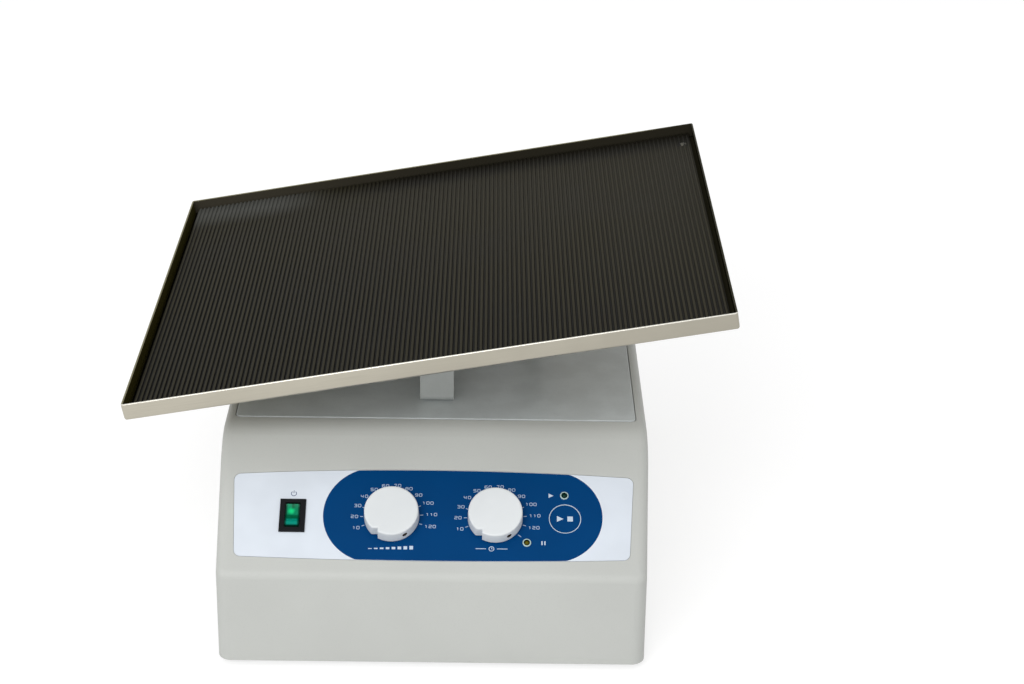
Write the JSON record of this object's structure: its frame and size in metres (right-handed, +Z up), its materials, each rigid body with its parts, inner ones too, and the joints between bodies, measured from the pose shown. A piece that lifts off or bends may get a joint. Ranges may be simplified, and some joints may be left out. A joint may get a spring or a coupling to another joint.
{
  "type": "rocker shaker",
  "caption": "Bench rocker shaker: a motor and crank tip a ribbed-mat tray to and fro over a sloping-panel housing with speed and time knobs.",
  "frame": {"origin": "on the bench under the middle of the tray, in the plane of the feet's undersides", "axes": "+X to the right of the control panel, +Y away from the reader towards the mains inlet, +Z up"},
  "size_m": [0.3521, 0.3515, 0.2108],
  "materials": {
    "case": "satin moulded, light grey",
    "floor_sheet": "zinc plated",
    "deck_sheet": "fine brushed",
    "inner_sheet": "zinc plated",
    "post_sheet": "satin grey",
    "tray_sheet": "semi-polished, brushed along the lips",
    "mat_rubber": "ribbed matte black",
    "foot_rubber": "matte black",
    "fasteners": "plated",
    "bronze": "sintered bronze",
    "steel_parts": "machined",
    "shafts": "ground",
    "gearbox_metal": "cast",
    "motor_can": "plated can",
    "laminations": "varnished laminations",
    "winding": "taped winding",
    "circuit_boards": "glass-fibre board",
    "capacitor_sleeve": "sleeved can",
    "pot_bodies": "plated",
    "green_lens": "dark green lens, unlit",
    "amber_lens": "amber lens, unlit",
    "lamp_rings": "bright",
    "black_plastic": "black moulded",
    "label_film": "printed film, blue field on white",
    "rocker_green": "translucent green, lit",
    "knob_plastic": "satin white",
    "key_film": "blue film key",
    "pin_metal": "nickel plated",
    "lead_sleeve": "sleeving"
  },
  "bodies": {
    "base": {"case_shell": "case", "floor_plate": "floor_sheet", "rubber_feet": "foot_rubber", "base_screws": "fasteners", "deck_plate": "deck_sheet", "chassis_left": "inner_sheet", "chassis_right": "inner_sheet", "pivot_post_front": "post_sheet", "pivot_post_rear": "post_sheet", "post_screws": "fasteners", "pivot_bushes": "bronze", "motor_bracket": "inner_sheet", "gearbox": "gearbox_metal", "motor": "motor_can", "transformer_core": "laminations", "transformer_winding": "winding", "power_board": "circuit_boards", "smoothing_capacitors": "capacitor_sleeve", "control_board": "circuit_boards", "board_screws": "fasteners", "speed_pot": "pot_bodies", "time_pot": "pot_bodies", "pot_nuts": "fasteners", "run_led": "green_lens", "hold_led": "amber_lens", "led_rings": "lamp_rings", "key_switch": "black_plastic", "panel_label": "label_film", "power_switch": "black_plastic", "inlet_socket": "black_plastic", "inlet_pins": "pin_metal", "inlet_screws": "fasteners", "mains_leads": "lead_sleeve", "motor_lead": "lead_sleeve", "panel_ribbon": "lead_sleeve"},
    "platform": {"tray": "tray_sheet", "rubber_mat": "mat_rubber", "mat_screw": "fasteners", "tray_carrier": "steel_parts", "tray_nuts": "fasteners", "rod_clevis": "steel_parts", "clevis_screws": "fasteners", "wrist_pin": "shafts", "pivot_pins": "shafts", "pivot_clips": "fasteners"},
    "drive_rod": {"connecting_rod": "steel_parts", "rod_bush": "bronze", "rod_bearing": "shafts"},
    "crank": {"crank_disc": "steel_parts", "crank_pin": "shafts", "output_shaft": "shafts", "crank_set_screw": "fasteners"},
    "power_rocker": {"power_rocker": "rocker_green"},
    "speed_control": {"speed_knob": "knob_plastic", "speed_shaft": "shafts", "speed_set_screw": "fasteners"},
    "time_control": {"time_knob": "knob_plastic", "time_shaft": "shafts", "time_set_screw": "fasteners"},
    "start_stop": {"start_stop_key": "key_film"}
  },
  "joints": [
    {"name": "platform_tilt", "type": "hinge", "parent": "base", "child": "platform", "pos_m": [0, 0, 0.1545], "axis": [0, 1, 0], "range_deg": [0, 20.7]},
    {"name": "rod_swing", "type": "hinge", "parent": "platform", "child": "drive_rod", "pos_m": [0.05902, 0, 0.16528], "axis": [0, 1, 0], "range_deg": [-20.7, 0]},
    {"name": "crank_turn", "type": "hinge", "parent": "base", "child": "crank", "pos_m": [0.05902, 0.01, 0.0585], "axis": [0, 1, 0], "range_deg": [0, 180]},
    {"name": "power_rocker", "type": "hinge", "parent": "base", "child": "power_rocker", "pos_m": [-0.0817, -0.16508, 0.08131], "axis": [1, 0, 0], "range_deg": [0, 18]},
    {"name": "speed_knob", "type": "hinge", "parent": "base", "child": "speed_control", "pos_m": [-0.024, -0.16866, 0.08685], "axis": [0, 0.5299, -0.848], "range_deg": [0, 300]},
    {"name": "time_knob", "type": "hinge", "parent": "base", "child": "time_control", "pos_m": [0.0362, -0.16866, 0.08685], "axis": [0, 0.5299, -0.848], "range_deg": [0, 300]},
    {"name": "start_stop_key", "type": "slide", "parent": "base", "child": "start_stop", "axis": [0, 0.5299, -0.848], "range_m": [0, 0.0005], "stiffness_N_per_m": 400}
  ],
  "couplings": [
    {"joint": "rod_swing", "follows": "platform_tilt", "ratio": -1},
    {"joint": "crank_turn", "follows": "platform_tilt", "ratio": 8.6956}
  ]
}
